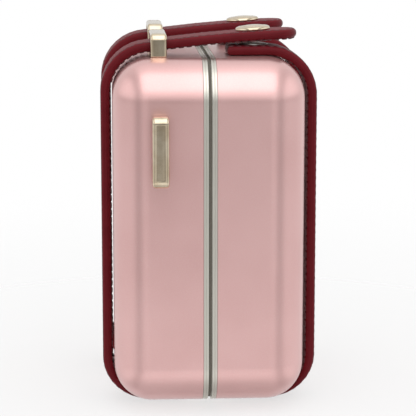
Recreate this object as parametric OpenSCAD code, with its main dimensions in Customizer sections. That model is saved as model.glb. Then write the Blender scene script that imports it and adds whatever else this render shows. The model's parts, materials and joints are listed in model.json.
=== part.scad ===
// Upright hard-shell makeup train case: two moulded half shells in aluminium
// rim frames, hinged along the bottom and held shut by two leather straps with
// magnetic snaps. X runs along the case, +Y is the back, +Z is up, and the
// origin is on the floor at the middle of the case.

/* [Case] */
// Length of the case along X
case_l = 165; // [150:1:200]
// Depth of the closed case from back to front
case_d = 110; // [104:1:130]
// Height of the shells
case_h = 200; // [180:1:240]
// Height of the shells above the floor
stand_h = 5; // [5:0.5:6]
// Radius of the four corners seen from the front
corner_r = 24; // [23:1:30]
// Radius of the edges round the front and back panels
edge_r = 22; // [16:1:22]
// Wall thickness of a shell
shell_t = 2; // [1.6:0.1:2]

/* [Rim frames] */
// Visible width of each aluminium band
band_w = 2.9; // [2.4:0.1:3.5]
// Open seam between the two bands
seam_gap = 2; // [1.6:0.1:2.4]
// Height of a frame section, measured inwards from the shell's surface
frame_t = 3.5; // [3.4:0.1:4]

/* [Straps] */
// Width of a leather strap
strap_w = 25; // [20:0.5:28]
// Thickness of a leather strap
strap_t = 5.5; // [4.5:0.1:5.5]
// Distance of each strap's middle from the middle of the case
strap_x = 38.5; // [32:0.5:42]
// Room between the back straps and the back panel
back_gap = 1.1; // [1:0.1:2.4]
// Room between the front straps and the front panel
front_gap = 3; // [2:0.1:3.5]
// Upward slope of the back strap where it leaves its keeper, in degrees
rise_a = 7; // [6.5:0.1:7.5]

/* [Brackets and snaps] */
// Length of a staple bracket
bracket_l = 40; // [37:0.5:42]
// Width of a staple bracket
bracket_w = 9.4; // [7:0.1:9.4]
// How far a staple bracket stands off the shell
bracket_h = 13.4; // [13.2:0.1:15]
// Distance of every bracket from the seam
bracket_y = 28.2; // [27.8:0.1:28.3]
// Height of the side brackets' middle above the floor
side_bracket_z = 155.5; // [130:0.5:158]
// Diameter of a snap's cap
cap_d = 20; // [16:0.5:20]
// Distance of the snaps from the seam
snap_y = 27; // [24:0.5:28]

/* [Hidden] */
$fn = 96;

top_z = stand_h + case_h;
mid_z = stand_h + case_h / 2;
half_d = case_d / 2;
rim_y = seam_gap / 2;               // where the aluminium bands begin
shell_y = rim_y + band_w;           // where the shells begin
fit = 0.05;                         // running clearance of pins and posts
touch = 0.15;                       // room left between faces that rest on each other

flange_l = 6.2;                     // how far a frame reaches inside its shell
tongue_l = 2;                       // how far the back frame enters the front one
tongue_in = [2.2, 3.2];             // the tongue's outer and inner faces, below the surface
lining_in = 4.4;                    // lining's outer face, below the shell's surface
lining_t = 1.2;
lining_floor = half_d - lining_in - lining_t;

hinge_z = 2.4;
hinge_r = 2.2;
hinge_pin_r = 1;
hinge_l = 80;
knuckles = 5;
leaf_w = 12.5;
leaf_t = 0.8;
knuckle_room = 0.15;
hinge_rivets_x = [-30, 0, 30];
hinge_rivet_y = 8;
rivet_r = 1.2;

strap_low_t = 3;                    // the strap is skived down under the case
back_strap_y = half_d + back_gap + strap_t / 2;
front_strap_y = half_d + front_gap + strap_t / 2;
strap_start_y = 14;
strap_end_y = 11.5;                 // where the front strap stops, short of the seam
wrap_low_r = 24.5;
wrap_top_r = 26;
flap_root = [20.3, top_z + 7.1];    // the fold line of the flap, in front of the keeper
flap_l = 72.7;
flap_bend = 5.5;                    // the flap levels out by this many degrees
flap_r = flap_l / (flap_bend * PI / 180);

bracket_t = 3;
bracket_bend_r = 4;
screw_r = 1.5;
screw_head_r = 2.75;
screw_head_h = 1.4;

cap_h = 3.2;
disc_d = 17;
disc_h = 0.9;
post_r = 1.9;
// Place of the snap along the flap, which brings it over the front strap's own disc
snap_s = (rise_a - asin(sin(rise_a) - (flap_root.x + snap_y) / flap_r)) * PI / 180 * flap_r;

foot_y = 25.5;
foot_r = 5;
foot_flat_r = 3.6;
foot_post_r = 1.5;
washer_h = 1.2;

mirror_l = 112;
mirror_h = 148;
bezel_w = 4;
bezel_t = 2.4;
glass_t = 1.6;

// ---- curves -----------------------------------------------------------------

// Points of an arc round centre c, from angle a to angle b
function arc(c, r, a, b, n) = [for (i = [0:n]) c + r * [cos(a + (b - a) * i / n), sin(a + (b - a) * i / n)]];

// Unit normal of path p at point i
function side_of(p, i) =
    let (d = p[min(i + 1, len(p) - 1)] - p[max(i - 1, 0)]) [d.y, -d.x] / norm(d);

// Outline of a band that follows path p with thickness t[i] at each point
function band_outline(p, t) = concat(
    [for (i = [0:len(p) - 1]) p[i] + side_of(p, i) * t[i] / 2],
    [for (i = [len(p) - 1:-1:0]) p[i] - side_of(p, i) * t[i] / 2]
);

// Middle line of the lower part of a strap: under the case, round its edge and up the panel
low_z = stand_h - touch - strap_low_t / 2;
function low_centre(y) = [y - wrap_low_r, low_z + wrap_low_r];
function low_path(y) = concat([[strap_start_y, low_z]], arc(low_centre(y), wrap_low_r, -90, 0, 14));
function low_thickness() = concat(
    [strap_low_t],
    [for (i = [0:14]) strap_low_t + (strap_t - strap_low_t) * i / 14]
);

// Middle line of the back strap over the top edge, ending at the flap's fold line
rise_z = flap_root.y - (back_strap_y - flap_root.x) * tan(rise_a);
turn = wrap_top_r * tan((90 - rise_a) / 2);
back_centre = [back_strap_y - wrap_top_r, rise_z - turn];
function back_top_path() = arc(back_centre, wrap_top_r, 0, 90 - rise_a, 14);

// Middle line of the front strap over the top edge, lying flat on the case
flat_z = top_z + touch + strap_t / 2;
front_centre = [front_strap_y - wrap_top_r, flat_z - wrap_top_r];
function front_top_path() = concat(arc(front_centre, wrap_top_r, 0, 90, 14), [[strap_end_y, flat_z]]);

// Point of the flap's middle line at distance s from its fold line, and its slope there
function flap_slope(s) = rise_a - flap_bend * s / flap_l;
function flap_point(s) = flap_root + flap_r * [
    sin(flap_slope(s)) - sin(rise_a),
    cos(flap_slope(s)) - cos(rise_a)
];

// ---- shared shapes ----------------------------------------------------------

module rounded_rect(l, h, r) {
    square([l - 2 * r, h], center = true);
    square([l, h - 2 * r], center = true);
    for (x = [-1, 1], y = [-1, 1])
        translate([x * (l / 2 - r), y * (h / 2 - r)]) circle(r);
}

// Solid with the case's outline, inset by i, from y0 to y1
module slab(i, y0, y1) {
    translate([0, y1, mid_z]) rotate([90, 0, 0])
        linear_extrude(y1 - y0) rounded_rect(case_l - 2 * i, case_h - 2 * i, corner_r - i);
}

module ring(i0, i1, y0, y1) {
    difference() {
        slab(i0, y0, y1);
        slab(i1, y0 - 1, y1 + 1);
    }
}

// Half section of a tray from its rim (y = 0) to its floor, measured from the corner's axis
module tray_section(i, depth) {
    r = edge_r - i;
    w = corner_r - i;
    intersection() {
        union() {
            square([w, depth - r]);
            square([w - r, depth]);
            translate([w - r, depth - r]) circle(r);
        }
        square([w, depth]);
    }
}

module wall_section(i, t, depth, rim) {
    difference() {
        tray_section(i, depth);
        tray_section(i + t, depth - t);
        square([3 * corner_r, rim]);
    }
}

// Open tray on the +Y side, wall thickness t, inset by i, its rim at y = rim
module tray(i, t, rim) {
    depth = half_d - i;
    lx = case_l / 2 - corner_r;
    lz = case_h / 2 - corner_r;
    translate([0, 0, mid_z]) rotate([-90, 0, 0]) {
        translate([0, 0, depth - t / 2]) cube([2 * lx, 2 * lz, t], center = true);
        for (m = [0, 1]) mirror([m, 0, 0]) {
            translate([lx, lz, 0]) rotate([90, 0, 0]) linear_extrude(2 * lz)
                wall_section(i, t, depth, rim);
            for (n = [0, 1]) mirror([0, n, 0])
                translate([lx, lz, 0]) rotate_extrude(angle = 90) wall_section(i, t, depth, rim);
        }
        for (n = [0, 1]) mirror([0, n, 0])
            translate([-lx, lz, 0]) rotate([90, 0, 90]) linear_extrude(2 * lx)
                wall_section(i, t, depth, rim);
    }
}

module front() {
    mirror([0, 1, 0]) children();
}

module at_straps() {
    for (x = [-strap_x, strap_x]) translate([x, 0, 0]) children();
}

// Band in the Y-Z plane, extruded across the strap's width
module band(path, thick, w = strap_w) {
    translate([-w / 2, 0, 0]) rotate([90, 0, 90]) linear_extrude(w)
        polygon(band_outline(path, thick));
}

// Bent bar on the X-Y plane, its legs along X, standing up in Z
module staple() {
    inner_h = bracket_h - bracket_t;
    difference() {
        translate([0, bracket_w / 2, 0]) rotate([90, 0, 0]) linear_extrude(bracket_w) difference() {
            intersection() {
                rounded_rect(bracket_l, 2 * bracket_h, bracket_bend_r);
                translate([-bracket_l / 2, 0]) square([bracket_l, bracket_h]);
            }
            rounded_rect(bracket_l - 2 * bracket_t, 2 * inner_h, bracket_bend_r - bracket_t);
        }
        for (x = [-1, 1]) translate([x * (bracket_l / 2 - bracket_t / 2 - 0.6), 0, -1])
            cylinder(r = 0.8, h = 1.2);
    }
}

// Screw that comes up through the shell from inside: head below, shank above z = 0
module bracket_screw() {
    translate([0, 0, -shell_t - screw_head_h]) cylinder(r = screw_head_r, h = screw_head_h);
    translate([0, 0, -shell_t]) cylinder(r = screw_r, h = shell_t);
}

module staple_screws() {
    for (x = [-1, 1]) translate([x * (bracket_l / 2 - bracket_t), 0, 0]) bracket_screw();
}

module on_top() {
    at_straps() translate([0, bracket_y, top_z]) children();
}

module on_side(side) {
    translate([side * case_l / 2, bracket_y, side_bracket_z]) rotate([0, side * 90, 0]) children();
}

// Holes that the strap feet, hinge rivets and bracket screws need in a back shell
module foot_holes() {
    at_straps() translate([0, foot_y, 0]) cylinder(r = foot_post_r + fit, h = 2 * stand_h);
}

module hinge_rivet_holes() {
    for (x = hinge_rivets_x) translate([x, hinge_rivet_y, 0]) cylinder(r = rivet_r + fit, h = 12);
}

// ---- shells, frames and linings ---------------------------------------------

module back_shell() {
    color("lightpink") difference() {
        tray(0, shell_t, shell_y);
        foot_holes();
        hinge_rivet_holes();
        on_top() for (x = [-1, 1]) translate([x * (bracket_l / 2 - bracket_t), 0, -shell_t - 1])
            cylinder(r = screw_r + fit, h = shell_t + 2);
        for (s = [-1, 1]) on_side(s) for (x = [-1, 1])
            translate([x * (bracket_l / 2 - bracket_t), 0, -shell_t - 1])
                cylinder(r = screw_r + fit, h = shell_t + 2);
    }
}

module front_shell() {
    color("lightpink") difference() {
        front() tray(0, shell_t, shell_y);
        front() foot_holes();
        front() hinge_rivet_holes();
        at_straps() translate([0, -snap_y, top_z - 2 * shell_t])
            cylinder(r = post_r + fit, h = 3 * shell_t);
    }
}

// Aluminium rim: a visible band with a shallow groove and a flange inside the shell
module rim_frame(groove = 0.3) {
    difference() {
        union() {
            ring(0, tongue_in[0] - 0.3, rim_y, shell_y - fit);
            ring(tongue_in[0] - 0.3, frame_t, rim_y + 1.4, shell_y - fit);
            ring(shell_t + fit, frame_t, shell_y - fit, shell_y + flange_l);
        }
        ring(-1, groove, rim_y + band_w / 2 - 0.25, rim_y + band_w / 2 + 0.25);
        hinge_rivet_holes();
    }
}

module back_frame() {
    color("gainsboro") {
        rim_frame();
        ring(tongue_in[0], tongue_in[1], -tongue_l, rim_y + 1.4);
    }
}

module front_frame() {
    color("gainsboro") front() rim_frame();
}

// Soft strip on the tongue, seen at the bottom of the seam
module seam_seal() {
    color("dimgray") ring(1.4, tongue_in[0] - fit, -rim_y + 0.25, rim_y - 0.1);
}

// Moulded liner, thickened at its rim where it meets the frame
module lining() {
    rim = shell_y - 1.4;
    tray(lining_in, lining_t, rim);
    ring(frame_t + fit, lining_in + lining_t, rim, shell_y - 0.2);
}

module back_lining() {
    color("mistyrose") lining();
}

module front_lining() {
    color("mistyrose") front() lining();
}

// ---- bottom hinge -----------------------------------------------------------

knuckle_l = hinge_l / knuckles;

// Leaf on the +Y side with every second knuckle, starting at the first one given
module hinge_leaf(first) {
    difference() {
        union() {
            translate([-hinge_l / 2, hinge_r + 0.4, stand_h - touch - leaf_t])
                cube([hinge_l, leaf_w - hinge_r - 0.4, leaf_t]);
            for (k = [first:2:knuckles - 1])
                translate([-hinge_l / 2 + k * knuckle_l + knuckle_room, 0, 0]) {
                    translate([0, 0, hinge_z]) rotate([0, 90, 0])
                        cylinder(r = hinge_r, h = knuckle_l - 2 * knuckle_room);
                    translate([0, 0, stand_h - touch - leaf_t])
                        cube([knuckle_l - 2 * knuckle_room, hinge_r + 1, leaf_t]);
                }
        }
        translate([-hinge_l, 0, hinge_z]) rotate([0, 90, 0])
            cylinder(r = hinge_pin_r + fit, h = 2 * hinge_l);
        hinge_rivet_holes();
    }
}

module hinge_leaf_back() {
    color("silver") hinge_leaf(0);
}

module hinge_leaf_front() {
    color("silver") front() hinge_leaf(1);
}

module hinge_pin() {
    color("silver") translate([-hinge_l / 2 - 0.8, 0, hinge_z]) rotate([0, 90, 0]) {
        cylinder(r = hinge_pin_r, h = hinge_l + 1.6);
        for (x = [0, hinge_l + 0.8]) translate([0, 0, x]) cylinder(r = hinge_r - 0.4, h = 0.8);
    }
}

module hinge_rivets() {
    low = stand_h - touch - leaf_t;
    high = stand_h + frame_t;
    for (x = hinge_rivets_x) translate([x, hinge_rivet_y, 0]) {
        translate([0, 0, low - 0.7]) cylinder(r = 2.2, h = 0.7);
        translate([0, 0, low]) cylinder(r = rivet_r, h = high - low);
        translate([0, 0, high]) cylinder(r = 2, h = 0.6);
    }
}

module hinge_rivets_back() {
    color("silver") hinge_rivets();
}

module hinge_rivets_front() {
    color("silver") front() hinge_rivets();
}

// ---- straps -----------------------------------------------------------------

module foot_post_hole() {
    translate([0, foot_y, 0]) cylinder(r = foot_post_r + fit, h = stand_h);
}

module strap_back() {
    path = concat(low_path(back_strap_y), back_top_path(), [flap_point(-strap_t / 2 - 0.4)]);
    thick = concat(low_thickness(), [for (i = [0:15]) strap_t]);
    difference() {
        band(path, thick);
        foot_post_hole();
    }
}

module strap_back_left() {
    color("maroon") translate([-strap_x, 0, 0]) strap_back();
}

module strap_back_right() {
    color("maroon") translate([strap_x, 0, 0]) strap_back();
}

module strap_front() {
    path = concat(low_path(front_strap_y), front_top_path());
    thick = concat(low_thickness(), [for (i = [0:15]) strap_t]);
    difference() {
        band(path, thick);
        foot_post_hole();
        translate([0, snap_y, top_z]) cylinder(r = post_r + fit, h = 2 * strap_t);
    }
}

module strap_front_left() {
    color("maroon") translate([-strap_x, 0, 0]) front() strap_front();
}

module strap_front_right() {
    color("maroon") translate([strap_x, 0, 0]) front() strap_front();
}

// Places its children on the flap's middle line, with +Z out of the top of the strap
module on_flap(s) {
    p = flap_point(s);
    translate([0, p.x, p.y]) rotate([-flap_slope(s), 0, 0]) children();
}

// Free end of the back strap, with a round tip and a round root at its fold line
module strap_flap() {
    steps = 12;
    path = [for (i = [0:steps]) flap_point(flap_l * i / steps)];
    tip = flap_point(flap_l).x;
    difference() {
        union() {
            intersection() {
                band(path, [for (i = [0:steps]) strap_t]);
                union() {
                    translate([0, tip + strap_w / 2, 0]) cylinder(r = strap_w / 2, h = 2 * top_z);
                    translate([-strap_w / 2, tip + strap_w / 2, 0]) cube([strap_w, flap_l, 2 * top_z]);
                }
            }
            translate([-strap_w / 2, flap_root.x, flap_root.y]) rotate([0, 90, 0])
                cylinder(r = strap_t / 2, h = strap_w);
        }
        on_flap(snap_s) translate([0, 0, -strap_t]) cylinder(r = post_r + fit, h = 2 * strap_t);
    }
}

module strap_flap_left() {
    color("maroon") translate([-strap_x, 0, 0]) strap_flap();
}

module strap_flap_right() {
    color("maroon") translate([strap_x, 0, 0]) strap_flap();
}

// ---- brackets ---------------------------------------------------------------

module keeper_left() {
    color("palegoldenrod") translate([-strap_x, bracket_y, top_z + fit]) staple();
}

module keeper_right() {
    color("palegoldenrod") translate([strap_x, bracket_y, top_z + fit]) staple();
}

module side_bracket(side) {
    on_side(side) translate([0, 0, fit]) staple();
}

module side_bracket_left() {
    color("palegoldenrod") side_bracket(-1);
}

module side_bracket_right() {
    color("palegoldenrod") side_bracket(1);
}

module keeper_screws() {
    color("silver") on_top() staple_screws();
}

module side_bracket_screws() {
    color("silver") for (s = [-1, 1]) on_side(s) staple_screws();
}

// ---- snaps ------------------------------------------------------------------

// Low domed cap with a ring groove, and the post that holds it to the socket
module snap_cap() {
    dome_r = (pow(cap_d / 2 - 0.6, 2) + pow(cap_h - 1, 2)) / (2 * (cap_h - 1));
    on_flap(snap_s) translate([0, 0, strap_t / 2 + touch]) {
        difference() {
            union() {
                cylinder(r = cap_d / 2, h = 1);
                intersection() {
                    translate([0, 0, cap_h - dome_r]) sphere(dome_r);
                    translate([0, 0, 1]) cylinder(r = cap_d / 2 - 0.6, h = cap_h);
                }
            }
            translate([0, 0, 1.9]) difference() {
                cylinder(r = 7.1, h = cap_h);
                translate([0, 0, -1]) cylinder(r = 6.5, h = 2 * cap_h);
            }
        }
        translate([0, 0, -strap_t - touch]) cylinder(r = post_r, h = strap_t + touch);
    }
}

module snap_cap_left() {
    color("palegoldenrod") translate([-strap_x, 0, 0]) snap_cap();
}

module snap_cap_right() {
    color("palegoldenrod") translate([strap_x, 0, 0]) snap_cap();
}

module snap_socket() {
    on_flap(snap_s) translate([0, 0, -strap_t / 2 - touch - disc_h]) cylinder(d = disc_d, h = disc_h);
}

module snap_socket_left() {
    color("silver") translate([-strap_x, 0, 0]) snap_socket();
}

module snap_socket_right() {
    color("silver") translate([strap_x, 0, 0]) snap_socket();
}

// Disc on top of the front strap, its post going down through the strap and the shell
module snap_stud() {
    strap_top = top_z + touch + strap_t;
    translate([0, -snap_y, strap_top]) cylinder(d = disc_d, h = disc_h);
    low = top_z - shell_t - washer_h;
    translate([0, -snap_y, low]) cylinder(r = post_r, h = strap_top - low);
}

module snap_stud_left() {
    color("silver") translate([-strap_x, 0, 0]) snap_stud();
}

module snap_stud_right() {
    color("silver") translate([strap_x, 0, 0]) snap_stud();
}

module snap_washers() {
    color("silver") at_straps() translate([0, -snap_y, top_z - shell_t - washer_h]) difference() {
        cylinder(r = 6, h = washer_h);
        translate([0, 0, -1]) cylinder(r = post_r + fit, h = washer_h + 2);
    }
}

// ---- feet -------------------------------------------------------------------

// Studs under the strap ends: the case stands on them, and they hold the straps
module feet() {
    foot_h = low_z - strap_low_t / 2;
    at_straps() translate([0, foot_y, 0]) {
        cylinder(r1 = foot_flat_r, r2 = foot_r, h = foot_h);
        cylinder(r = foot_post_r, h = stand_h + shell_t + washer_h);
    }
}

module feet_back() {
    color("silver") feet();
}

module feet_front() {
    color("silver") front() feet();
}

module foot_washers() {
    at_straps() translate([0, foot_y, stand_h + shell_t]) difference() {
        cylinder(r = 5, h = washer_h);
        translate([0, 0, -1]) cylinder(r = foot_post_r + fit, h = washer_h + 2);
    }
}

module foot_washers_back() {
    color("silver") foot_washers();
}

module foot_washers_front() {
    color("silver") front() foot_washers();
}

// ---- inside -----------------------------------------------------------------

module mirror_plate(l, h, r, y0, y1) {
    translate([0, y1, mid_z]) rotate([90, 0, 0]) linear_extrude(y1 - y0) rounded_rect(l, h, r);
}

module mirror_bezel() {
    back = -lining_floor + fit;
    color("palegoldenrod") difference() {
        mirror_plate(mirror_l, mirror_h, 10, back, back + bezel_t);
        mirror_plate(mirror_l - 2 * bezel_w, mirror_h - 2 * bezel_w, 6, back - 1, back + bezel_t + 1);
    }
}

module mirror_glass() {
    back = -lining_floor + fit;
    inset = 2 * (bezel_w + fit);
    color("lightsteelblue")
        mirror_plate(mirror_l - inset, mirror_h - inset, 6 - fit, back, back + glass_t);
}

// Elastic band that holds brushes against the back panel
module brush_band() {
    color("rosybrown") translate([-55, lining_floor - fit - 1.2, 92]) cube([110, 1.2, 24]);
}

back_shell();
back_frame();
seam_seal();
back_lining();
front_shell();
front_frame();
front_lining();
hinge_leaf_back();
hinge_leaf_front();
hinge_pin();
hinge_rivets_back();
hinge_rivets_front();
strap_back_left();
strap_back_right();
strap_front_left();
strap_front_right();
strap_flap_left();
strap_flap_right();
keeper_left();
keeper_right();
side_bracket_left();
side_bracket_right();
keeper_screws();
side_bracket_screws();
snap_cap_left();
snap_cap_right();
snap_socket_left();
snap_socket_right();
snap_stud_left();
snap_stud_right();
snap_washers();
feet_back();
feet_front();
foot_washers_back();
foot_washers_front();
mirror_bezel();
mirror_glass();
brush_band();
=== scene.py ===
import json
from math import atan2, ceil, cos, pi, radians, sin, tan

import bpy
from mathutils import Matrix, Vector


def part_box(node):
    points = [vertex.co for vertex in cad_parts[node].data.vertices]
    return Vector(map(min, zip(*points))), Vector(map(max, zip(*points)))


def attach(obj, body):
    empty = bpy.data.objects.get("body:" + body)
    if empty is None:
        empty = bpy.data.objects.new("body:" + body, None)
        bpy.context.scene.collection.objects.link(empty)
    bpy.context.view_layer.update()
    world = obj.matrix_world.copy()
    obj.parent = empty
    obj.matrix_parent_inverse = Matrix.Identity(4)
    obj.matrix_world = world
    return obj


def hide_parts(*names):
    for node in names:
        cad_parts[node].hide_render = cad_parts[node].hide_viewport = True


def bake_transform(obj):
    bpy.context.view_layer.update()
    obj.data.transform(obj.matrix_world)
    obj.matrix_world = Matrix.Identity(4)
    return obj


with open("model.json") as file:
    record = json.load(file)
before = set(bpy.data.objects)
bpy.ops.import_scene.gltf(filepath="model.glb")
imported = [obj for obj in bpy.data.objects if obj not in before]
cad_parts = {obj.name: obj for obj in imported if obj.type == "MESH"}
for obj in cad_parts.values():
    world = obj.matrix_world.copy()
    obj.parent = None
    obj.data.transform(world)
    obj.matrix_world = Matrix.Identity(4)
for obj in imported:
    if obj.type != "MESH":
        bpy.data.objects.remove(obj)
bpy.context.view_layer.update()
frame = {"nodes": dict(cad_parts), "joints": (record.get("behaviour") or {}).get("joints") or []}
mm = 0.001
tiny = 1e-6                     # two places closer than this are the same place
sides = ("left", "right")


# Working with the selection

def deselectAll():
    for thing in list(bpy.context.selected_objects):
        thing.select_set(False)


def makeActive(piece):
    deselectAll()
    piece.select_set(True)
    bpy.context.view_layer.objects.active = piece


def editMode(on):
    bpy.ops.object.mode_set(mode="EDIT" if on else "OBJECT")


def startPick(piece, kind):     # edit mode, nothing selected
    makeActive(piece)
    editMode(True)
    bpy.ops.mesh.select_mode(type=kind)
    bpy.ops.mesh.select_all(action="DESELECT")
    editMode(False)


def pickFaces(piece, test):     # edit mode, with the faces that pass test(centre, normal) selected
    startPick(piece, "FACE")
    for face in piece.data.polygons:
        face.select = test(face.center, face.normal)
    editMode(True)


def pickEdges(piece, test):     # edit mode, with the edges that pass test(end, end) selected
    startPick(piece, "EDGE")
    places = [point.co for point in piece.data.vertices]
    for edge in piece.data.edges:
        edge.select = test(places[edge.vertices[0]], places[edge.vertices[1]])
    editMode(True)


def applyPlace(piece):
    makeActive(piece)
    bpy.ops.object.transform_apply(location=True, rotation=True, scale=True)


def modify(piece, kind, **settings):
    makeActive(piece)
    modifier = piece.modifiers.new(kind, kind)
    for name, value in settings.items():
        setattr(modifier, name, value)
    bpy.ops.object.modifier_apply(modifier=modifier.name)


def slices(piece, places, normal):      # straight cuts across the piece, square to the normal
    makeActive(piece)
    editMode(True)
    bpy.ops.mesh.select_mode(type="FACE")
    for place in places:
        bpy.ops.mesh.select_all(action="SELECT")
        bpy.ops.mesh.bisect(plane_co=Vector(normal) * place, plane_no=normal)
    editMode(False)


def smoothShade(piece, degreesApart=38):
    makeActive(piece)
    bpy.ops.object.shade_smooth_by_angle(angle=radians(degreesApart))
    modify(piece, "WEIGHTED_NORMAL", keep_sharp=True)


def softenEdges(piece, width, steps=3, overDegrees=40):
    modify(piece, "BEVEL", width=width, segments=steps, limit_method="ANGLE",
           angle_limit=radians(overDegrees))
    smoothShade(piece)


# Shapes that several pieces start from

def block(name, low, high):
    deselectAll()
    low, high = Vector(low), Vector(high)
    bpy.ops.mesh.primitive_cube_add(size=1, location=(low + high) / 2)
    piece = bpy.context.object
    piece.name = piece.data.name = name
    piece.scale = high - low
    applyPlace(piece)
    return piece


def plate(name, low, high, radius, steps=8):     # a block with its four edges along Y rounded
    piece = block(name, low, high)
    pickEdges(piece, lambda a, b: abs(a.y - b.y) > tiny)
    bpy.ops.mesh.bevel(offset=radius, segments=steps, affect="EDGES")
    editMode(False)
    return piece


def turned(name, outline, around=56):    # (radius, height) pairs, from the bottom's middle round to the top's
    deselectAll()
    radius, height = outline[0]
    bpy.ops.mesh.primitive_circle_add(vertices=around, radius=radius * mm, fill_type="NGON",
                                      location=(0, 0, height * mm))
    piece = bpy.context.object
    piece.name = piece.data.name = name
    applyPlace(piece)
    editMode(True)
    bpy.ops.mesh.select_mode(type="FACE")
    bpy.ops.mesh.select_all(action="SELECT")
    for nextRadius, nextHeight in outline[1:]:
        bpy.ops.mesh.extrude_region_move(
            TRANSFORM_OT_translate={"value": (0, 0, (nextHeight - height) * mm)})
        share = nextRadius / radius
        bpy.ops.transform.resize(value=(share, share, 1), center_override=(0, 0, nextHeight * mm))
        radius, height = nextRadius, nextHeight
    bpy.ops.mesh.select_all(action="SELECT")
    bpy.ops.mesh.normals_make_consistent(inside=False)
    editMode(False)
    smoothShade(piece, 30)
    return piece


def putAt(piece, place, turn=0.0, axis="X"):
    piece.matrix_world = Matrix.Translation(place) @ Matrix.Rotation(turn, 4, axis)
    applyPlace(piece)
    return piece


def cutAway(piece, cutter):
    modify(piece, "BOOLEAN", operation="DIFFERENCE", object=cutter, solver="EXACT")
    bpy.data.objects.remove(cutter)


def repeated(name, pattern, places):     # one mesh with a copy of the pattern at each place
    corners, faces = [], []
    for place in places:
        first = len(corners)
        corners += [place @ point.co for point in pattern.data.vertices]
        faces += [[first + corner for corner in face.vertices] for face in pattern.data.polygons]
    mesh = bpy.data.meshes.new(name)
    mesh.from_pydata(corners, [], faces)
    piece = bpy.data.objects.new(name, mesh)
    bpy.context.scene.collection.objects.link(piece)
    makeActive(piece)
    bpy.ops.object.shade_smooth()
    return piece


def settle(piece, body, material, slotName, *nodes):     # what every finished piece is told
    piece.data.materials.clear()
    piece.data.materials.append(material)
    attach(piece, body)
    if nodes:
        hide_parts(*nodes)
    return piece


# Shader maths

class Wire:                     # one socket that a value or colour comes out of
    def __init__(self, finish, socket):
        self.finish, self.socket = finish, socket

    def math(self, operation, *others):
        return self.finish.add("ShaderNodeMath", {"operation": operation}, self, *others)

    def __add__(self, other):
        return self.math("ADD", other)

    def __mul__(self, other):
        return self.math("MULTIPLY", other)

    def __sub__(self, other):
        return self.math("SUBTRACT", other)

    def __rsub__(self, other):
        return self.finish.add("ShaderNodeMath", {"operation": "SUBTRACT"}, other, self)

    __radd__, __rmul__ = __add__, __mul__

    def clamped(self):
        return self.finish.add("ShaderNodeClamp", {}, self)

    def between(self, low, high):        # 0 at low, 1 at high, smooth in between
        return self.finish.add("ShaderNodeMapRange", {"interpolation_type": "SMOOTHSTEP"}, self, low, high)


class Tree:                     # a tree of shader nodes
    def __init__(self, owner, shaderName):
        owner.use_nodes = True
        self.tree = owner.node_tree
        self.shader = self.tree.nodes[shaderName]

    def add(self, kind, settings, *inputs, output=0, **named):
        node = self.tree.nodes.new(kind)
        for name, value in settings.items():
            setattr(node, name, value)
        for place, value in [*enumerate(inputs), *named.items()]:
            self.feed(node.inputs[place], value)
        return Wire(self, node.outputs[output])

    def feed(self, socket, value):
        if isinstance(value, Wire):
            self.tree.links.new(value.socket, socket)
        elif socket.type == "RGBA":
            socket.default_value = (*value, 1)
        else:
            socket.default_value = value

    def set(self, **sockets):
        for name, value in sockets.items():
            words = "".join(" " + letter if letter.isupper() else letter for letter in name)
            self.feed(self.shader.inputs[words.strip().replace("Ior", "IOR")], value)


class Finish(Tree):             # one material
    def __init__(self, name, **sockets):
        self.material = bpy.data.materials.new(name)
        super().__init__(self.material, "Principled BSDF")
        self.set(**sockets)

    def place(self, stretch=(1, 1, 1), turn=(0, 0, 0), source=None):
        if source is None:
            source = self.add("ShaderNodeTexCoord", {}, output="Object")
        return self.add("ShaderNodeMapping", {}, source, (0, 0, 0), turn, stretch)

    def attribute(self, name):
        return self.add("ShaderNodeAttribute", {"attribute_name": name}, output="Vector")

    def parts(self, vector):
        return [self.add("ShaderNodeSeparateXYZ", {}, vector, output=axis) for axis in "XYZ"]

    def noise(self, where, scale, detail, roughness=0.5, distortion=0.0):
        return self.add("ShaderNodeTexNoise", {}, Vector=where, Scale=scale, Detail=detail,
                        Roughness=roughness, Distortion=distortion)

    def cells(self, where, scale):
        return self.add("ShaderNodeTexVoronoi", {}, Vector=where, Scale=scale, output="Distance")

    def blend(self, share, first, second):
        node = self.tree.nodes.new("ShaderNodeMix")
        node.data_type = "RGBA"
        for place, value in ((0, share), (6, first), (7, second)):
            self.feed(node.inputs[place], value)
        return Wire(self, node.outputs[2])

    def bump(self, height, distance, strength, normal=None):
        wire = self.add("ShaderNodeBump", {}, Height=height, Distance=distance, Strength=strength)
        if normal is not None:
            self.feed(wire.socket.node.inputs["Normal"], normal)
        return wire


# Finishes: patterns are scaled in metres, and on the leather in the flat strap's millimetres

roseMetal = {"colour": (0.88, 0.52, 0.505), "deep": (0.82, 0.465, 0.45), "flake": (0.93, 0.74, 0.71),
             "roughness": 0.30, "metallic": 0.8, "coat": 0.3, "coatRoughness": 0.12, "coatIor": 1.5,
             "flakeScale": 2600, "cloudScale": 22, "peelScale": 260, "scratchScale": 900,
             "peelDepth": 0.02 * mm, "flakeDepth": 0.03 * mm}


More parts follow.
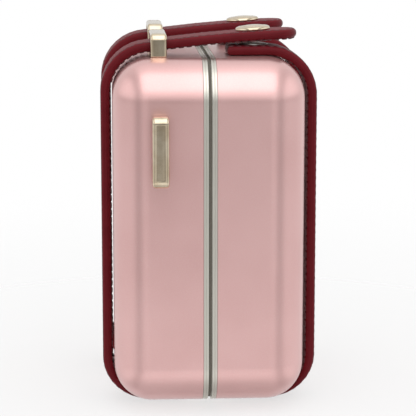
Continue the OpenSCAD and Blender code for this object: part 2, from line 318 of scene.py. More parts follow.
def roseFinish():               # metallic paint on a moulded shell, under a clear coat
    f = Finish("rose metal", CoatWeight=roseMetal["coat"], CoatRoughness=roseMetal["coatRoughness"],
               CoatIor=roseMetal["coatIor"])
    here = f.place()
    flakes = f.cells(here, roseMetal["flakeScale"])
    cloud = f.noise(here, roseMetal["cloudScale"], 2)
    orangePeel = f.noise(here, roseMetal["peelScale"], 2)
    streaks = f.noise(f.place((1, 1, 0.03), (0.5, 0.3, 0.2)), roseMetal["scratchScale"], 2)
    scratches = streaks.between(0.70, 0.78)
    tint = f.blend(cloud.between(0.3, 0.7), roseMetal["deep"], roseMetal["colour"])
    f.set(BaseColor=f.blend(flakes * 0.35, tint, roseMetal["flake"]), Metallic=roseMetal["metallic"],
          Roughness=roseMetal["roughness"] + cloud * 0.04 - 0.02 + scratches * 0.03)
    ripple = f.bump(orangePeel, roseMetal["peelDepth"], 0.35)
    f.set(Normal=f.bump(flakes + scratches * 0.1, roseMetal["flakeDepth"], 0.2, ripple))
    return f.material


bandMetal = {"colour": (0.78, 0.76, 0.69), "shade": (0.66, 0.64, 0.57), "roughness": 0.30,
             "lineStretch": (25, 5000, 25), "cloudScale": 60, "lineDepth": 0.01 * mm}


def bandFinish():               # drawn aluminium, its lines running round the rim
    f = Finish("drawn aluminium", Metallic=1.0)
    lines = f.noise(f.place(bandMetal["lineStretch"]), 1, 3)
    cloud = f.noise(f.place(), bandMetal["cloudScale"], 2)
    f.set(BaseColor=f.blend(lines, bandMetal["shade"], bandMetal["colour"]),
          Roughness=bandMetal["roughness"] + (lines - 0.5) * 0.16 + cloud * 0.06,
          Normal=f.bump(lines, bandMetal["lineDepth"], 0.3))
    return f.material


paleGold = {"colour": (0.80, 0.69, 0.52), "shade": (0.66, 0.54, 0.38), "roughness": 0.07,
            "cloudScale": 120, "wipeScale": 1500, "wipeDepth": 0.008 * mm}


def goldFinish():               # polished plating with fine wipe marks
    f = Finish("pale gold plate", Metallic=1.0)
    cloud = f.noise(f.place(), paleGold["cloudScale"], 3)
    wipes = f.noise(f.place((1, 1, 0.05), (0.4, 0.7, 0.1)), paleGold["wipeScale"], 3)
    f.set(BaseColor=f.blend(cloud.between(0.35, 0.7), paleGold["colour"], paleGold["shade"]),
          Roughness=paleGold["roughness"] + wipes.between(0.5, 0.8) * 0.08 + cloud * 0.03,
          Normal=f.bump(wipes, paleGold["wipeDepth"], 0.25))
    return f.material


nickel = {"colour": (0.62, 0.61, 0.58), "shade": (0.50, 0.485, 0.455), "roughness": 0.26,
          "lineStretch": (3000, 40, 40), "spotScale": 300, "lineDepth": 0.01 * mm}


def steelFinish():
    f = Finish("nickel steel", Metallic=1.0)
    lines = f.noise(f.place(nickel["lineStretch"]), 1, 3)
    spots = f.noise(f.place(), nickel["spotScale"], 3)
    f.set(BaseColor=f.blend(spots.between(0.4, 0.7), nickel["colour"], nickel["shade"]),
          Roughness=nickel["roughness"] + lines * 0.14, Normal=f.bump(lines, nickel["lineDepth"], 0.35))
    return f.material


burgundy = {"colour": (0.145, 0.0088, 0.0148), "light": (0.175, 0.012, 0.019),
            "dark": (0.058, 0.0035, 0.0055), "shine": 0.18, "shineTint": (1, 0.55, 0.55),
            "coat": 0.02, "coatRoughness": 0.2, "roughness": 0.40,
            "poreScale": 1.55, "grainScale": 2.3, "foldStretch": (0.9, 0.12, 0.12), "cloudScale": 0.10,
            "channel": (0.25, 0.95), "rimStart": 0.9, "rimEnd": 1.9, "relief": 0.22 * mm}


def leatherFinish(name, row, tipCentre):     # row: the stitching's distance from the strap's middle line
    f = Finish(name, SpecularIorLevel=burgundy["shine"], SpecularTint=burgundy["shineTint"],
               CoatWeight=burgundy["coat"], CoatRoughness=burgundy["coatRoughness"])
    flat = f.attribute("flatPlace")
    along, through, across = f.parts(flat)
    beyond = (along - tipCentre).math("MAXIMUM", 0.0)
    fromMiddle = (beyond * beyond + across * across).math("SQRT")
    channel = 1 - (fromMiddle - row).math("ABSOLUTE").between(*burgundy["channel"])
    rim = fromMiddle.between(row + burgundy["rimStart"], row + burgundy["rimEnd"])
    layers = 1 - through.math("ABSOLUTE").between(0.1, 0.55)
    pores = f.cells(flat, burgundy["poreScale"])
    grain = f.noise(flat, burgundy["grainScale"], 4, 0.6)
    folds = f.noise(f.place(burgundy["foldStretch"], source=flat), 1, 4, 0.6, 0.6)
    cloud = f.noise(flat, burgundy["cloudScale"], 3)
    bent = f.add("ShaderNodeAttribute", {"attribute_name": "bent"}, output="Fac")
    skin = f.blend(cloud.between(0.3, 0.75), burgundy["colour"], burgundy["light"])
    worn = f.blend((bent * folds.between(0.45, 0.7) * 0.5).clamped(), skin, burgundy["light"])
    edged = f.blend(rim * 0.4, worn, burgundy["dark"])
    painted = f.blend(rim * layers * 0.25, edged, burgundy["light"])
    # the stitch channel is blended halfway to the dark burgundy: painted shade in the groove that the bump
    # sinks
    f.set(BaseColor=f.blend(channel * 0.5, painted, burgundy["dark"]),
          Roughness=(burgundy["roughness"] + grain * 0.22 - rim * 0.08).clamped())
    relief = pores * 0.45 + grain * 0.3 + folds * (bent * 0.9 + 0.25) - channel * 1.6
    f.set(Normal=f.bump(relief, burgundy["relief"], 0.55))
    return f.material


thread = {"pale": (0.82, 0.56, 0.53), "paleShade": (0.64, 0.38, 0.36), "dark": (0.13, 0.010, 0.015),
          "darkShade": (0.05, 0.004, 0.007), "roughness": 0.62, "sheen": 0.3, "twistScale": 900,
          "twistDepth": 0.08 * mm}


def threadFinish(name, colour, shade):
    f = Finish(name, SheenWeight=thread["sheen"])
    twist = f.add("ShaderNodeTexWave", {}, Vector=f.place((1, 1, 1), (0.6, 0.5, 0.6)),
                  Scale=thread["twistScale"], Distortion=0.5, output="Fac")
    f.set(BaseColor=f.blend(twist, shade, colour), Roughness=thread["roughness"] - twist * 0.1,
          Normal=f.bump(twist, thread["twistDepth"], 0.6))
    return f.material


blackRubber = {"colour": (0.11, 0.10, 0.08), "dust": (0.19, 0.17, 0.14), "roughness": 0.55, "dustScale": 700,
               "dustDepth": 0.04 * mm}


def lipFinish():
    f = Finish("seam lip rubber")
    dust = f.noise(f.place(), blackRubber["dustScale"], 4)
    f.set(BaseColor=f.blend(dust, blackRubber["colour"], blackRubber["dust"]),
          Roughness=blackRubber["roughness"] + dust * 0.2, Normal=f.bump(dust, blackRubber["dustDepth"], 0.4))
    return f.material


blushCloth = {"colour": (0.70, 0.50, 0.46), "shade": (0.60, 0.40, 0.37), "roughness": 0.86, "sheen": 0.6,
              "sheenRoughness": 0.4, "napScale": 1800, "patchScale": 45, "weaveScale": 420,
              "napDepth": 0.12 * mm}


def liningFinish():             # brushed fabric over the moulded liner
    f = Finish("blush lining", SheenWeight=blushCloth["sheen"], SheenRoughness=blushCloth["sheenRoughness"])
    here = f.place()
    nap = f.noise(here, blushCloth["napScale"], 4, 0.7)
    patches = f.noise(f.place((1, 1, 0.4)), blushCloth["patchScale"], 3)
    weave = f.add("ShaderNodeTexWave", {}, Vector=here, Scale=blushCloth["weaveScale"], Distortion=1.5,
                  Detail=2.0, output="Fac")
    f.set(BaseColor=f.blend(patches.between(0.3, 0.7), blushCloth["shade"], blushCloth["colour"]),
          Roughness=blushCloth["roughness"] - nap * 0.1,
          Normal=f.bump(nap + weave * 0.35, blushCloth["napDepth"], 0.6))
    return f.material


webbing = {"colour": (0.34, 0.12, 0.125), "shade": (0.16, 0.045, 0.05), "roughness": 0.8, "sheen": 0.3,
           "ribScale": 260, "fuzzScale": 1500, "ribDepth": 0.2 * mm}


def elasticFinish():
    f = Finish("ribbed elastic", SheenWeight=webbing["sheen"])
    ribs = f.add("ShaderNodeTexWave", {"bands_direction": "Z"}, Vector=f.place(), Scale=webbing["ribScale"],
                 output="Fac")
    fuzz = f.noise(f.place(), webbing["fuzzScale"], 3)
    f.set(BaseColor=f.blend(ribs * 0.7 + fuzz * 0.3, webbing["shade"], webbing["colour"]),
          Roughness=webbing["roughness"], Normal=f.bump(ribs + fuzz * 0.4, webbing["ribDepth"], 0.7))
    return f.material


silver = {"colour": (0.90, 0.925, 0.93), "smear": (0.84, 0.87, 0.88), "roughness": 0.02, "smearScale": 60}


def mirrorFinish():
    f = Finish("silvered glass", Metallic=1.0)
    smears = f.noise(f.place((1, 1, 0.3), (0, 0.6, 0)), silver["smearScale"], 3)
    f.set(BaseColor=f.blend(smears * 0.2, silver["colour"], silver["smear"]),
          Roughness=silver["roughness"] + smears.between(0.55, 0.8) * 0.05)
    return f.material


print("finishes")
rose = roseFinish()
aluminium = bandFinish()
gold = goldFinish()
steel = steelFinish()
paleThread = threadFinish("pale waxed thread", thread["pale"], thread["paleShade"])
darkThread = threadFinish("burgundy waxed thread", thread["dark"], thread["darkShade"])
lipRubber = lipFinish()
blush = liningFinish()
elastic = elasticFinish()
silvered = mirrorFinish()


# The two shells, their rims and their linings

def spanOf(*nodes):
    boxes = [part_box(node) for node in nodes]
    return (Vector(map(min, *[box[0] for box in boxes])), Vector(map(max, *[box[1] for box in boxes])))


shell = {"cornerRadius": 24 * mm, "edgeRadius": 22 * mm, "wall": 2 * mm, "rim": 3.9 * mm,
         "rimRound": 0.35 * mm, "steps": 16}
caseLow, caseHigh = spanOf("back_shell", "front_shell")


def outlineSlab(name, inset, front, back):       # the case's outline seen from the front, as a solid slab
    low = (caseLow.x + inset, front, caseLow.z + inset)
    high = (caseHigh.x - inset, back, caseHigh.z - inset)
    return plate(name, low, high, shell["cornerRadius"] - inset, shell["steps"])


def tray(name, side, inset, wall, rim):          # side is 1 for the back half and -1 for the front half
    depth = caseHigh.y - inset
    piece = outlineSlab(name, inset, -depth, depth)
    pickEdges(piece, lambda a, b: min(side * a.y, side * b.y) > depth - tiny)
    bpy.ops.mesh.bevel(offset=shell["edgeRadius"] - inset, segments=shell["steps"], affect="EDGES")
    bpy.ops.mesh.select_all(action="SELECT")
    bpy.ops.mesh.bisect(plane_co=(0, side * rim, 0), plane_no=(0, side, 0), clear_inner=True)
    editMode(False)
    modify(piece, "SOLIDIFY", thickness=wall, offset=-1, use_even_offset=True)
    softenEdges(piece, shell["rimRound"], overDegrees=55)
    return piece


def hoop(name, inset, thickness, front, back, roundOff, groove=None):
    piece = outlineSlab(name, inset, front, back)
    pickFaces(piece, lambda centre, normal: abs(normal.y) > 0.9)
    bpy.ops.mesh.delete(type="FACE")
    editMode(False)
    if groove:
        middle, half = (front + back) / 2, groove["width"] / 2
        slices(piece, (middle - half, middle + half), (0, 1, 0))
        pickFaces(piece, lambda centre, normal: abs(centre.y - middle) < half)
        bpy.ops.mesh.inset(thickness=0.02 * mm, depth=-groove["depth"])
        editMode(False)
    modify(piece, "SOLIDIFY", thickness=thickness, offset=-1, use_even_offset=True)
    softenEdges(piece, roundOff)
    return piece


rim = {"seam": 1 * mm, "width": 2.85 * mm, "thickness": 1.9 * mm, "round": 0.45 * mm,
       "groove": {"width": 0.45 * mm, "depth": 0.25 * mm}}
web = {"gap": 0.02 * mm, "thickness": 1.5 * mm, "front": 2.4 * mm, "round": 0.15 * mm}
flange = {"inset": 2.06 * mm, "thickness": 1.4 * mm, "width": 6.2 * mm, "round": 0.15 * mm}
tongue = {"inset": 2.2 * mm, "thickness": 1 * mm, "reach": 2 * mm, "root": 2.35 * mm, "round": 0.2 * mm}
lip = {"inset": 1.4 * mm, "thickness": 0.72 * mm, "front": -0.75 * mm, "back": 0.9 * mm, "round": 0.3 * mm}
liner = {"inset": 4.4 * mm, "wall": 1.2 * mm, "rim": 2.5 * mm}
bead = {"inset": 3.6 * mm, "thickness": 2.1 * mm, "width": 1.2 * mm, "round": 0.5 * mm}


def spanY(side, near, far):     # the two ends of a stretch of Y, in order, on either side of the seam
    return sorted((side * near, side * far))


def makeHalf(name, side, body):
    bandEnd = rim["seam"] + rim["width"]
    settle(tray(f"shell_{name}", side, 0, shell["wall"], shell["rim"]), body, rose, "shell", f"{name}_shell")
    settle(hoop(f"rim_{name}", 0, rim["thickness"], *spanY(side, rim["seam"], bandEnd), rim["round"],
                rim["groove"]), body, aluminium, "rim_metal", f"{name}_frame")
    settle(hoop(f"rim_web_{name}", rim["thickness"] + web["gap"], web["thickness"],
                *spanY(side, web["front"], bandEnd), web["round"]), body, aluminium, "rim_metal")
    settle(hoop(f"rim_flange_{name}", flange["inset"], flange["thickness"],
                *spanY(side, bandEnd, bandEnd + flange["width"]), flange["round"]),
           body, aluminium, "rim_metal")
    settle(tray(f"liner_{name}", side, liner["inset"], liner["wall"], liner["rim"]), body, blush, "lining",
           f"{name}_lining")
    settle(hoop(f"liner_bead_{name}", bead["inset"], bead["thickness"],
                *spanY(side, liner["rim"], liner["rim"] + bead["width"]), bead["round"]),
           body, blush, "lining")


print("shells, rims and linings")
makeHalf("back", 1, "back_half")
makeHalf("front", -1, "front_half")
settle(hoop("rim_tongue", tongue["inset"], tongue["thickness"], -tongue["reach"], tongue["root"],
            tongue["round"]), "back_half", aluminium, "rim_metal")
settle(hoop("seam_lip", lip["inset"], lip["thickness"], lip["front"], lip["back"], lip["round"]),
       "back_half", lipRubber, "seal", "seam_seal")


# Straps: cut flat, rounded and sewn flat, and then bent along their way round the case

strap = {"width": 25 * mm, "thickness": 5.5 * mm, "skived": 3 * mm, "edgeRound": 2.62 * mm,
         "crown": 0.10 * mm, "lowRadius": 24.5 * mm, "topRadius": 26 * mm, "rise": 7,
         "flapLength": 72.7 * mm, "flapBend": 5.5, "slice": 2.6 * mm}
stitch = {"pitch": 4.6 * mm, "length": 3.5 * mm, "thickness": 1.15 * mm, "spread": 1.15,
          "fromEdge": 1.9 * mm, "slant": 7, "innerSink": 0.1 * mm, "outerSink": 0.52 * mm,
          "pulledIn": 0.6 * mm}
creaseBefore, creaseInto = 8 * mm, 6 * mm        # how far folds spread before a bend, and into it
fold = {joint["child"]: Vector(joint["pos_m"]) for joint in frame["joints"]}
foldBack, foldFront = 3 * mm, 9 * mm             # how far the fold's bend reaches each way from its axis


def walk(start, heading, steps):         # steps are (length, degrees turned to the left over that length)
    place, points = Vector(start), [Vector(start)]
    heading = radians(heading)
    for length, degreesTurned in steps:
        parts = max(1, ceil(abs(degreesTurned) / 1.5))
        turn = radians(degreesTurned) / parts
        reach = length / parts * (sin(turn / 2) / (turn / 2) if turn else 1)
        for _ in range(parts):
            heading += turn / 2
            place = place + Vector((cos(heading), sin(heading))) * reach
            heading += turn / 2
            points.append(place)
    return points


def bendLength(radius, degreesTurned):
    return radius * radians(degreesTurned)


def backWay(side):              # up from under the case, over the top edge and out to the flap's tip
    low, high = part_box(f"strap_back_{side}")
    pivot = fold[f"flap_{side}"]
    outerY = high.y - strap["thickness"] / 2
    start = (low.y, low.z + strap["skived"] / 2)
    riseHeight = pivot.z - (outerY - pivot.y) * tan(radians(strap["rise"]))
    swing = 90 - strap["rise"]
    cornerDrop = strap["topRadius"] * tan(radians(swing / 2))
    slopeRun = (outerY - pivot.y) / cos(radians(strap["rise"])) - cornerDrop
    climb = riseHeight - cornerDrop - (start[1] + strap["lowRadius"])
    return start, 0, [(outerY - strap["lowRadius"] - start[0], 0), (bendLength(strap["lowRadius"], 90), 90),
                      (climb, 0), (bendLength(strap["topRadius"], swing), swing), (slopeRun, 0),
                      (strap["flapLength"], strap["flapBend"])]


def frontWay(side):             # from the top near the seam, over the edge, down and under the case
    low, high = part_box(f"strap_front_{side}")
    outerY = low.y + strap["thickness"] / 2
    start = (high.y, high.z - strap["thickness"] / 2)
    lowHeight = low.z + strap["skived"] / 2
    drop = start[1] - strap["topRadius"] - strap["lowRadius"] - lowHeight
    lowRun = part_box(f"strap_back_{side}")[0].y
    return start, 180, [(start[0] - outerY - strap["topRadius"], 0), (bendLength(strap["topRadius"], 90), 90),
                        (drop, 0), (bendLength(strap["lowRadius"], 90), 90),
                        (-lowRun - outerY - strap["lowRadius"], 0)]


def marksOf(steps):             # distance along the strap at which each step ends
    marks = [0]
    for length, _ in steps:
        marks.append(marks[-1] + length)
    return marks


def easeBetween(value, low, high):
    share = min(max((value - low) / (high - low), 0), 1)
    return share * share * (3 - 2 * share)


def bendAlong(piece, points, across):    # the piece lies along X, with its inner face towards +Y
    data = bpy.data.curves.new("way", "CURVE")
    data.dimensions = "2D"
    spline = data.splines.new("POLY")
    spline.points.add(len(points) - 1)
    for knot, point in zip(spline.points, points):
        knot.co = (point.x, point.y, 0, 1)
    guide = bpy.data.objects.new("way", data)
    bpy.context.scene.collection.objects.link(guide)
    modify(piece, "CURVE", object=guide, deform_axis="POS_X")
    bpy.data.objects.remove(guide)
    piece.matrix_world = Matrix(((0, 0, 1, across), (1, 0, 0, 0), (0, 1, 0, 0), (0, 0, 0, 1)))
    applyPlace(piece)


def flatStrap(name, length, roundTip):
    halfWidth, halfThick = strap["width"] / 2, strap["thickness"] / 2
    piece = block(name, (0, -halfThick, -halfWidth), (length, halfThick, halfWidth))
    if roundTip:
        pickEdges(piece, lambda a, b: min(a.x, b.x) > length - tiny and abs(a.y - b.y) > tiny)
        bpy.ops.mesh.bevel(offset=halfWidth * 0.97, segments=14, affect="EDGES")
        editMode(False)
    pickEdges(piece, lambda a, b: abs(a.y) > halfThick - tiny and abs(a.y - b.y) < tiny)
    bpy.ops.mesh.bevel(offset=strap["edgeRound"], segments=7, affect="EDGES")
    editMode(False)
    count = round(length / strap["slice"])
    slices(piece, [length * (cut + 0.5) / count for cut in range(count)], (1, 0, 0))
    slices(piece, [halfWidth * share for share in (-0.7, -0.35, 0, 0.35, 0.7)], (0, 0, 1))
    return piece


def makeStitch():
    deselectAll()
    bpy.ops.mesh.primitive_uv_sphere_add(segments=8, ring_count=6, radius=0.5)
    piece = bpy.context.object
    piece.rotation_euler.y = pi / 2
    applyPlace(piece)
    pickFaces(piece, lambda centre, normal: abs(centre.x) < 0.3)
    bpy.ops.transform.resize(value=(1.5, 1, 1))
    editMode(False)
    reach = max(point.co.x for point in piece.data.vertices)
    piece.scale = (stitch["length"] / 2 / reach, stitch["thickness"],
                   stitch["thickness"] * stitch["spread"])
    piece.rotation_euler.y = radians(stitch["slant"])
    applyPlace(piece)
    return piece


def stitchRow(length, roundTip):         # places of the stitches on one face, flat, in order along the edge
    row = strap["width"] / 2 - stitch["fromEdge"]
    tipCentre = length - strap["width"] / 2 if roundTip else length - stitch["fromEdge"]
    first = stitch["fromEdge"] * 2
    straight = int((tipCentre - first) / stitch["pitch"])
    places = []
    for side in (-1, 1):
        for step in range(straight + 1):
            places.append((tipCentre - step * stitch["pitch"], side * row, 0))
    if roundTip:
        around = round(pi * row / stitch["pitch"])
        for step in range(1, around):
            angle = pi * step / around - pi / 2
            places.append((tipCentre + row * cos(angle), row * sin(angle), -angle - pi / 2))
    else:
        ends = round(2 * row / stitch["pitch"])
        for step in range(1, ends):
            places.append((tipCentre, row - 2 * row * step / ends, pi / 2))
    return places


def sewing(name, length, roundTip, face):        # face is 1 for the inner face, -1 for the outer one
    places = []
    depth = strap["thickness"] / 2 - (stitch["innerSink"] if face > 0 else stitch["outerSink"])
    for along, across, turn in stitchRow(length, roundTip):
        if not roundTip:
            along = length - along       # a front strap's finished end is its start
        places.append(Matrix.Translation((along, face * depth, across)) @ Matrix.Rotation(turn, 4, "Y"))
    return repeated(name, stitchPattern, places)


# Thins the skived end and notes where each point lay flat; stitching is moved whole, with its face
def shapeLeather(piece, thinnedAt, bentAt, restsAt, moved):
    kinds = {"flatPlace": "FLOAT_VECTOR", "bent": "FLOAT"}
    for name, kind in kinds.items():
        piece.data.attributes.new(name, kind, "POINT")
    flat, bent = [piece.data.attributes[name] for name in kinds]
    for number, point in enumerate(piece.data.vertices):
        flat.data[number].vector = point.co / mm
        bent.data[number].value = bentAt(point.co.x)
        share = thinnedAt(point.co.x)
        if moved:
            face = 1 if point.co.y > 0 else -1
            point.co.y += (share - 1) * strap["thickness"] / 2 * face
            if face > 0:         # the thread is pulled into the leather where the strap lies on the case
                point.co.y -= stitch["pulledIn"] * restsAt(point.co.x)
        else:
            crown = 1 - (point.co.z / (strap["width"] / 2)) ** 2
            outer = strap["crown"] * crown if point.co.y < 0 else 0
            point.co.y = (point.co.y - outer) * share


def makeStrap(name, way, roundTip, body, nodes, flapBody=None):
    start, heading, steps = way
    marks, points = marksOf(steps), walk(start, heading, steps)
    length = marks[-1]
    skive = strap["skived"] / strap["thickness"]
    bends = [(marks[number], marks[number + 1]) for number, step in enumerate(steps) if step[1] > 30]
    if flapBody:
        bends.append((marks[-2] - foldBack, marks[-2] + foldFront))

    def thinnedAt(along):
        if flapBody:
            return skive + (1 - skive) * easeBetween(along, marks[1], marks[2])
        return 1 - (1 - skive) * easeBetween(along, marks[-3], marks[-2])

    def bentAt(along):
        shares = []
        for low, high in bends:
            start = easeBetween(along, low - creaseBefore, low + creaseInto)
            shares.append(start * (1 - easeBetween(along, high - creaseInto, high + creaseBefore)))
        return max(shares)

    def restsAt(along):
        low, high = (marks[1], marks[2]) if flapBody else (marks[-3], marks[-2])
        if flapBody:
            return 1 - easeBetween(along, low, low + 0.45 * (high - low))
        top = 1 - easeBetween(along, marks[1], marks[1] + 0.3 * (marks[2] - marks[1]))
        return max(top, easeBetween(along, high - 0.45 * (high - low), high))

    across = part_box(nodes[0])
    middle = (across[0].x + across[1].x) / 2
    row = (strap["width"] / 2 - stitch["fromEdge"]) / mm
    tipCentre = (length - strap["width"] / 2) / mm if roundTip else length / mm
    leather = leatherFinish(f"burgundy leather {name}", row, tipCentre)
    hide = flatStrap(name, length, roundTip)
    inner = sewing(f"{name}_inner_stitching", length, roundTip, 1)
    outer = sewing(f"{name}_outer_stitching", length, roundTip, -1)
    shapeLeather(hide, thinnedAt, bentAt, restsAt, False)
    shapeLeather(inner, thinnedAt, bentAt, restsAt, True)
    shapeLeather(outer, thinnedAt, bentAt, restsAt, True)
    finishes = {hide: leather, inner: darkThread, outer: darkThread}
    for piece in finishes:
        bendAlong(piece, points, middle)
    smoothShade(hide, 50)
    if flapBody:
        for piece, material in finishes.items():
            piece.data.materials.append(material)
            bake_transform(piece)
        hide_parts(*nodes)
    else:
        for piece, material in finishes.items():
            settle(piece, body, material, "leather")
        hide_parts(*nodes)
    return points


print("straps")
stitchPattern = makeStitch()
flapWays = {}
for side in sides:
    flapWays[side] = makeStrap(f"strap_{side}", backWay(side), True, "back_half",
                               (f"strap_back_{side}", f"strap_flap_{side}"), f"flap_{side}")
    makeStrap(f"front_strap_{side}", frontWay(side), False, "front_half", (f"strap_front_{side}",))
bpy.data.objects.remove(stitchPattern)


# Staple brackets

staple = {"bar": 3 * mm, "bend": 4 * mm, "innerBend": 0.6 * mm, "crown": 1.7 * mm, "round": 0.5 * mm,
          "fromLine": 0.05 * mm, "line": 0.65 * mm, "lineDepth": 0.2 * mm}


def makeStaple(name, node, body):        # modelled lying on the floor, then stood on its face of the case
    low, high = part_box(node)
    size = high - low
    upright = size.z > size.x
    length, height = (size.z, size.x) if upright else (size.x, size.z)
    halfWidth = size.y / 2
    piece = block(name, (-length / 2, -halfWidth, 0), (length / 2, halfWidth, height))
    pickEdges(piece, lambda a, b: min(a.z, b.z) > height - tiny and abs(a.y - b.y) > tiny)
    bpy.ops.mesh.bevel(offset=staple["bend"], segments=8, affect="EDGES")
    editMode(False)
    pickEdges(piece, lambda a, b: abs(a.y - b.y) < tiny and max(a.z, b.z) > tiny)
    bpy.ops.mesh.bevel(offset=staple["crown"], segments=7, affect="EDGES")
    editMode(False)
    pickFaces(piece, lambda centre, normal: centre.z > height - tiny)
    bpy.ops.mesh.inset(thickness=staple["fromLine"])
    bpy.ops.mesh.inset(thickness=staple["line"], depth=-staple["lineDepth"])
    bpy.ops.mesh.inset(thickness=staple["line"], depth=staple["lineDepth"])
    editMode(False)
    inner = length / 2 - staple["bar"]
    cutter = block("cutter", (-inner, -2 * halfWidth, -height),
                   (inner, 2 * halfWidth, height - staple["bar"]))
    pickEdges(cutter, lambda a, b: min(a.z, b.z) > 0 and abs(a.y - b.y) > tiny)
    bpy.ops.mesh.bevel(offset=staple["bend"] - staple["bar"] + staple["innerBend"], segments=5,
                       affect="EDGES")
    editMode(False)
    cutAway(piece, cutter)
    softenEdges(piece, staple["round"], 4)
    centre = (low + high) / 2
    if upright:
        side = 1 if centre.x > 0 else -1
        base = high.x if side < 0 else low.x
        putAt(piece, (base, centre.y, centre.z), side * pi / 2, "Y")
    else:
        putAt(piece, (centre.x, centre.y, low.z))
    return settle(piece, body, gold, "hardware", node)


print("brackets and snaps")
for side in sides:
    makeStaple(f"keeper_bar_{side}", f"keeper_{side}", "back_half")
    makeStaple(f"side_staple_{side}", f"side_bracket_{side}", "back_half")


# Snaps and feet

snap = {"capGap": 0.12 * mm, "socketGap": 1.02 * mm}
footInset = 5 * mm
overTop = 190 * mm               # a strap is over the case's top above this height
capOutline = [(9.4, 0), (9.8, 0.12), (10, 0.5), (9.96, 0.95), (9.75, 1.38), (9.35, 1.75), (8.8, 2.02),
              (8.1, 2.2), (7.5, 2.26), (7.1, 2.14), (6.95, 1.85), (6.6, 1.82), (6.4, 2.15), (6.1, 2.36),
              (5.2, 2.56), (4.2, 2.7), (3.0, 2.82), (1.8, 2.9), (0.7, 2.93)]
discOutline = [(3.0, 0.3), (3.6, 0.25), (3.9, 0.02), (5.6, 0.0), (8.0, 0.02), (8.4, 0.2), (8.5, 0.45),
               (8.4, 0.7), (8.1, 0.88), (1.0, 0.9)]
footOutline = [(0.8, 0.0), (3.3, 0.0), (3.75, 0.12), (4.3, 0.55), (4.8, 1.15), (5.0, 1.55), (4.95, 1.75),
               (4.6, 1.84), (1.0, 1.84)]


def placeWhere(points, y):      # where a path that runs towards -Y passes y, and its heading there
    for here, there in zip(points, points[1:]):
        if here.y > overTop and there.x <= y < here.x:
            share = (here.x - y) / (here.x - there.x)
            step = there - here
            return here + step * share, step
    raise ValueError("the path doesn't pass there")


def makeSnap(side):
    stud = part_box(f"snap_stud_{side}")
    x, y = (stud[0].x + stud[1].x) / 2, (stud[0].y + stud[1].y) / 2
    place, step = placeWhere(flapWays[side], y)
    tilt = atan2(step.y, step.x) - pi
    outward = Vector((0, -sin(tilt), cos(tilt)))
    middle = Vector((x, place.x, place.y))
    cap = turned(f"cap_{side}", capOutline)
    putAt(cap, middle + outward * (strap["thickness"] / 2 + snap["capGap"]), tilt)
    settle(cap, f"flap_{side}", gold, "hardware", f"snap_cap_{side}")
    socket = turned(f"socket_{side}", discOutline)
    putAt(socket, middle - outward * (strap["thickness"] / 2 + snap["socketGap"]), tilt)
    settle(socket, f"flap_{side}", steel, "steel", f"snap_socket_{side}")
    disc = turned(f"stud_{side}", discOutline)
    putAt(disc, (x, y, stud[1].z), pi)
    settle(disc, "front_half", steel, "steel", f"snap_stud_{side}")


def makeFeet(name, body):
    low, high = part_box(f"feet_{name}")
    y = (low.y + high.y) / 2
    pattern = turned("foot", footOutline, 40)
    reach = high.x - footInset
    places = [Matrix.Translation((x, y, low.z)) for x in (-reach, reach)]
    piece = repeated(f"feet_{name}_studs", pattern, places)
    bpy.data.objects.remove(pattern)
    smoothShade(piece, 30)
    settle(piece, body, gold, "hardware", f"feet_{name}")


for side in sides:
    makeSnap(side)
makeFeet("back", "back_half")
makeFeet("front", "front_half")


# Mirror and brush band

print("mirror and brush band")
mirror = {"corner": 10 * mm, "width": 4 * mm, "openingCorner": 6 * mm, "past": 1 * mm, "round": 0.8 * mm,
          "glassCorner": 5.9 * mm, "border": 5 * mm, "borderDrop": 0.25 * mm}


def makeMirror():
    low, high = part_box("mirror_bezel")
    bezel = plate("mirror_frame", low, high, mirror["corner"])
    width, past = mirror["width"], mirror["past"]
    cutter = plate("cutter", (low.x + width, low.y - past, low.z + width),
                   (high.x - width, high.y + past, high.z - width), mirror["openingCorner"])
    cutAway(bezel, cutter)
    softenEdges(bezel, mirror["round"], overDegrees=50)
    settle(bezel, "front_half", gold, "bezel", "mirror_bezel")
    low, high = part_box("mirror_glass")
    glass = plate("mirror_face", low, high, mirror["glassCorner"])
    pickFaces(glass, lambda centre, normal: normal.y > 0.9)
    bpy.ops.mesh.inset(thickness=mirror["border"])
    bpy.ops.transform.translate(value=(0, mirror["borderDrop"], 0))
    editMode(False)
    smoothShade(glass, 1)
    settle(glass, "front_half", silvered, "mirror", "mirror_glass")


brushBand = {"loops": 6, "bulge": 4.2 * mm, "thickness": 0.9 * mm, "tack": 2.2 * mm, "flare": 0.18,
             "round": 0.25 * mm, "cutsAlong": 120, "cutsAcross": 6, "tackStitches": 8, "tackInset": 1.2 * mm,
             "tackOut": 0.1 * mm}


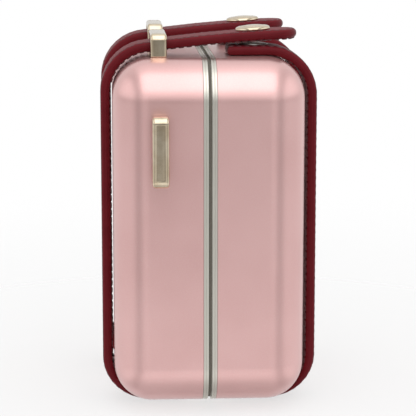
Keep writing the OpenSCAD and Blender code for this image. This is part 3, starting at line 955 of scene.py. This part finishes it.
def makeBrushBand():            # each loop stands out from the liner, and is sewn down between loops
    low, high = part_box("brush_band")
    length = high.x - low.x
    piece = block("brush_loops", (low.x, high.y - brushBand["thickness"], low.z), (high.x, high.y, high.z))
    cutsAlong, cutsAcross = brushBand["cutsAlong"], brushBand["cutsAcross"]
    slices(piece, [low.x + length * cut / cutsAlong for cut in range(1, cutsAlong)], (1, 0, 0))
    slices(piece, [low.z + (high.z - low.z) * cut / cutsAcross for cut in range(1, cutsAcross)], (0, 0, 1))
    pitch = length / brushBand["loops"]
    for point in piece.data.vertices:
        along = (point.co.x - low.x) % pitch
        out = sin(pi * min(max((along - brushBand["tack"]) / (pitch - 2 * brushBand["tack"]), 0), 1))
        height = (point.co.z - low.z) / (high.z - low.z)
        flare = 1 - brushBand["flare"] * (2 * height - 1) ** 2
        point.co.y -= brushBand["bulge"] * out ** 0.8 * flare
    softenEdges(piece, brushBand["round"], 2, 60)
    settle(piece, "back_half", elastic, "elastic", "brush_band")
    pattern = makeStitch()
    places = []
    count, inset = brushBand["tackStitches"], brushBand["tackInset"]
    for loop in range(brushBand["loops"] + 1):
        x = min(max(low.x + loop * pitch, low.x + inset), high.x - inset)
        for step in range(count):
            z = low.z + (step + 0.5) * (high.z - low.z) / count
            place = Matrix.Translation((x, high.y - brushBand["thickness"] - brushBand["tackOut"], z))
            places.append(place @ Matrix.Rotation(pi / 2, 4, "Y"))
    tacks = repeated("brush_tacks", pattern, places)
    bpy.data.objects.remove(pattern)
    settle(tacks, "back_half", paleThread, "elastic")


makeMirror()
makeBrushBand()

steelNodes = ("hinge_leaf_back", "hinge_leaf_front", "hinge_pin", "hinge_rivets_back", "hinge_rivets_front",
              "keeper_screws", "side_bracket_screws", "snap_washers", "foot_washers_back",
              "foot_washers_front")
for name in steelNodes:
    node = frame["nodes"][name]
    node.data.materials.clear()
    node.data.materials.append(steel)


# Floor, lights and camera

print("stage")
camera = {"back": 1000 * mm, "aside": 54 * mm, "up": 292 * mm, "down": 9.68, "swing": -3.27, "lens": 143.8,
          "sensor": 36, "shift": -0.054}
overhead = {"place": (-0.7, 0.0, 1.1), "aim": (0, 0, 0.105), "size": (1.2, 1.2), "power": 3.0}
room = {"level": 0.68, "tent": 0.46, "tentFrom": (0.03, 0.20), "table": 0.30, "tableFrom": (0.12, 0.5),
        "wall": 0.76, "wallFrom": (-0.05, 0.7), "dim": 0.5, "dimFrom": (0.955, 0.995), "seen": 1.0,
        "horizon": (-0.10, 0.12), "horizonShade": 0.35, "flags": (0.40, 0.80), "flagShade": 0.5,
        "under": 0.55, "underFrom": (0.6, 0.95)}
floor = {"size": 6, "clear": 0.32, "fade": (0.15, 0.7), "colour": (0.90, 0.90, 0.90), "roughness": 0.65}


def floorFinish():              # a pale sheet, thin enough to see an open lid that hangs below it
    f = Finish("pale floor", BaseColor=floor["colour"], Roughness=floor["roughness"])
    away = f.add("ShaderNodeVectorMath", {"operation": "LENGTH"}, f.place(), output="Value")
    f.set(Alpha=(1 - away.between(*floor["fade"])) * floor["clear"])
    return f.material


def lightRoom():                # a light tent before the case, dim at the viewer, with a white wall behind
    world = bpy.data.worlds.new("studio")
    bpy.context.scene.world = world
    w = Tree(world, "Background")
    ray = w.add("ShaderNodeTexCoord", {}, output="Generated")
    x, y, z = [w.add("ShaderNodeSeparateXYZ", {}, ray, output=axis) for axis in "XYZ"]
    front = z.between(*room["tentFrom"]) * room["tent"] + (z * -1).between(*room["tableFrom"]) * room["table"]
    front = (front + room["level"]) * (1 - (x * -1).between(*room["dimFrom"]) * room["dim"])
    for value, name, depth in ((z, "horizon", "horizonShade"), (y.math("ABSOLUTE"), "flags", "flagShade")):
        low, high = room[name]
        middle, reach = (low + high) / 2, (high - low) / 2
        away = (value - middle).math("ABSOLUTE").between(reach * 0.4, reach)
        front = front * (1 - (1 - away) * room[depth])
    front = front * (1 - (z * -1).between(*room["underFrom"]) * room["under"])
    back = x.between(*room["wallFrom"])
    soft = front * (1 - back) + back * room["wall"]
    seen = w.add("ShaderNodeLightPath", {}, output="Is Camera Ray")
    w.feed(w.shader.inputs["Strength"], soft * (1 - seen) + seen * room["seen"])
    w.feed(w.shader.inputs["Color"], (1, 1, 1))


def makeStage():
    deselectAll()
    bpy.ops.mesh.primitive_plane_add(size=floor["size"])
    sheet = bpy.context.object
    sheet.name = "floor"
    sheet.data.materials.append(floorFinish())
    bpy.ops.object.light_add(type="AREA", location=overhead["place"])
    lamp = bpy.context.object
    lamp.name = "overhead"
    lamp.data.shape = "RECTANGLE"
    lamp.data.size, lamp.data.size_y = overhead["size"]
    lamp.data.energy = overhead["power"]
    lamp.rotation_euler = (Vector(overhead["aim"]) - lamp.location).to_track_quat("-Z", "Y").to_euler()
    bpy.context.scene.view_settings.view_transform = "Standard"


def makeCamera():
    down, swing = radians(camera["down"]), radians(camera["swing"])
    look = Vector((cos(down) * cos(swing), cos(down) * sin(swing), -sin(down)))
    bpy.ops.object.camera_add(location=(-camera["back"], camera["aside"], camera["up"]))
    view = bpy.context.object
    view.rotation_euler = look.to_track_quat("-Z", "Y").to_euler()
    view.data.lens, view.data.sensor_width = camera["lens"], camera["sensor"]
    view.data.shift_y = camera["shift"]
    bpy.context.scene.camera = view


makeStage()
lightRoom()
makeCamera()

print("done")
